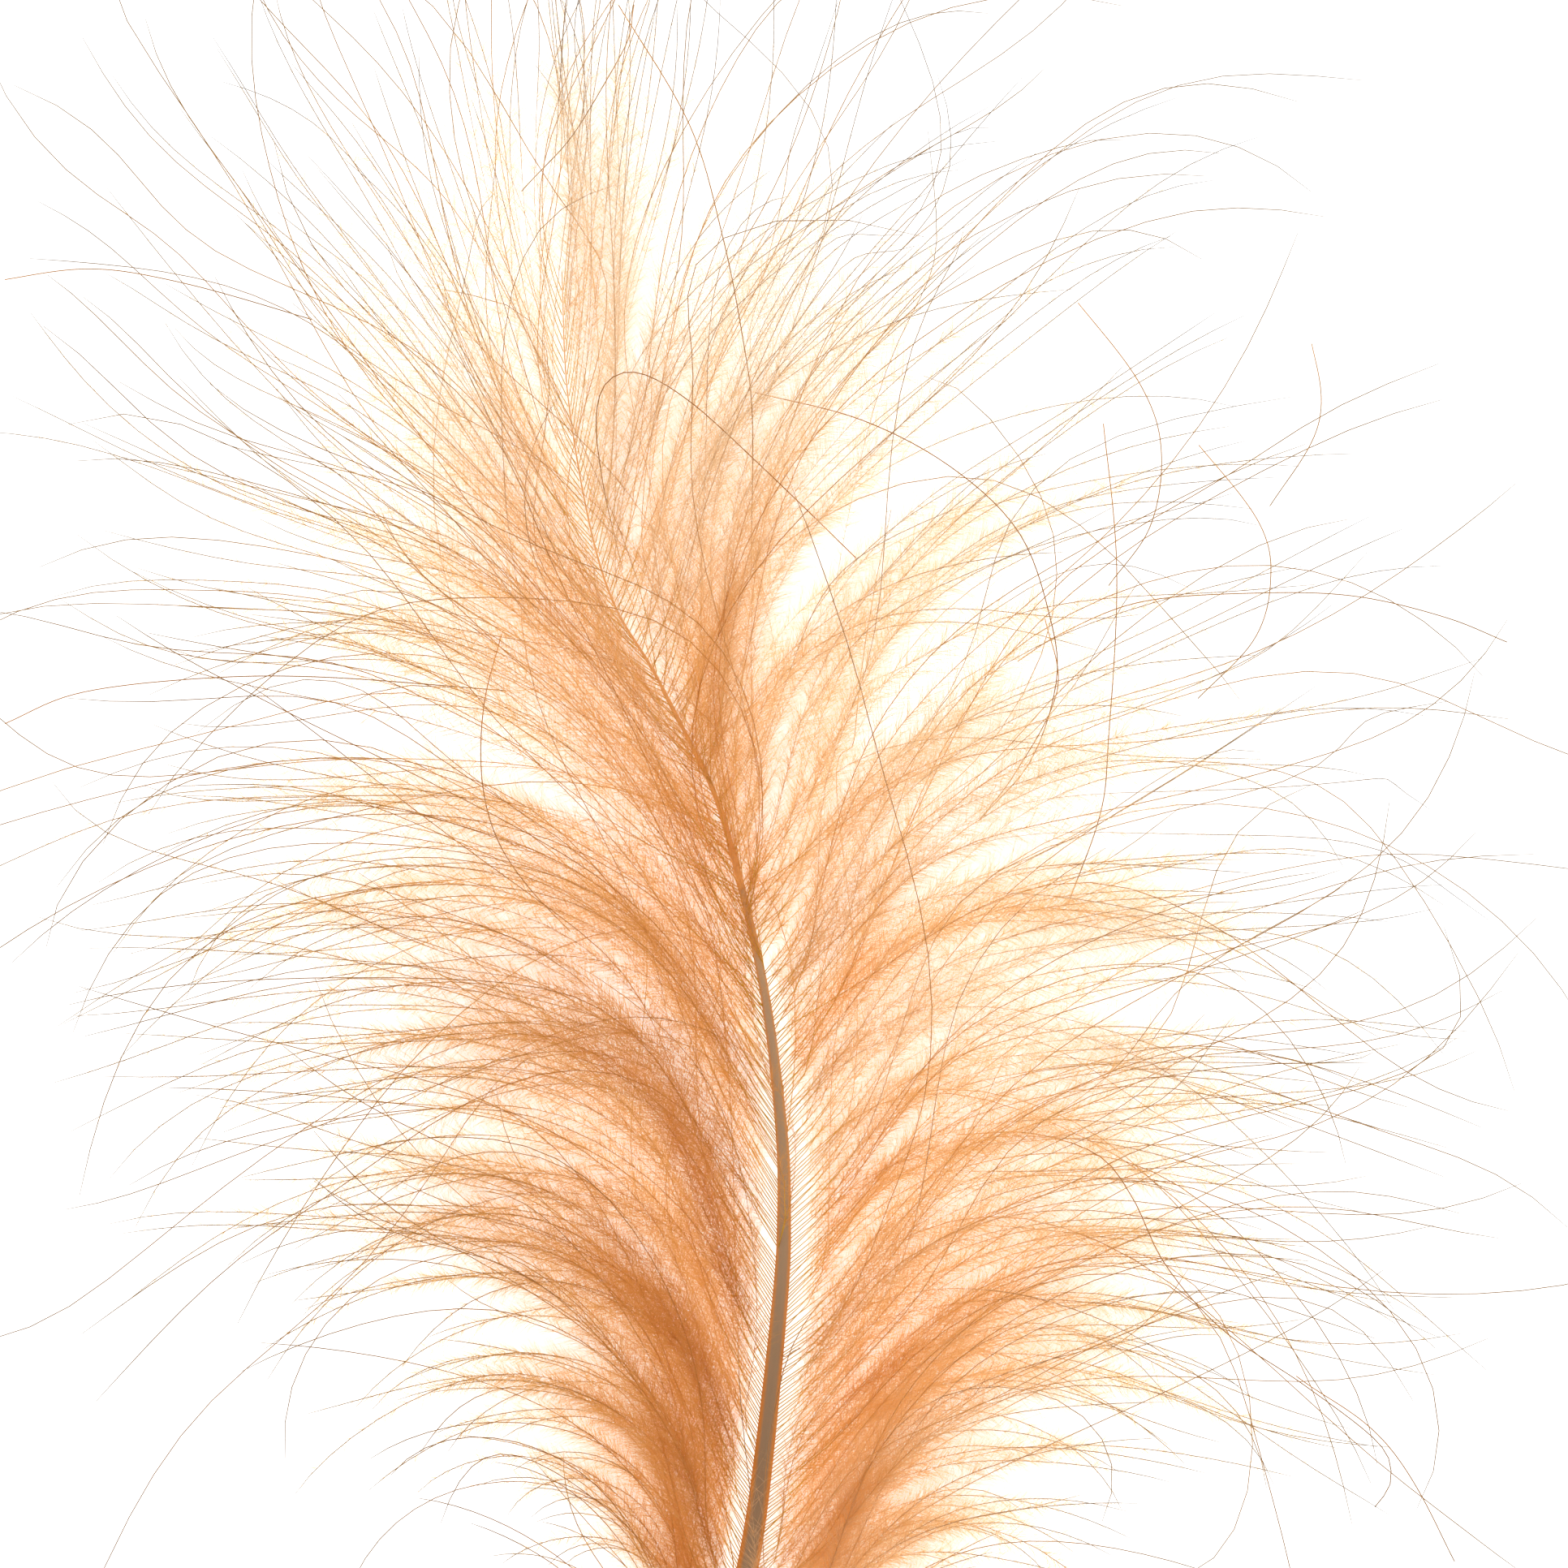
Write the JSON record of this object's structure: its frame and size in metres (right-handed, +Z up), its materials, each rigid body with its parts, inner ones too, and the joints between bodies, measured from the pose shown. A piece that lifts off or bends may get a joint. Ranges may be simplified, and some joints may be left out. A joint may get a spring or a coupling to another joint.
{
  "type": "turkey marabou feather",
  "caption": "Downy plume lying flat: a slim tapering quill with long soft barbs in loose locks that fan out on both sides and arch over the tip.",
  "frame": {"origin": "on the surface that the plume lies on, below the middle of its length and width", "axes": "+Y along the shaft from the cut end of the quill towards the tip of the plume, +X to the right seen from above, +Z up away from the surface"},
  "size_m": [0.0911, 0.1191, 0.0089],
  "materials": {
    "down": "soft matt down, peach orange, light passes through it"
  },
  "bodies": {
    "root": {"feather": "down"}
  },
  "joints": []
}
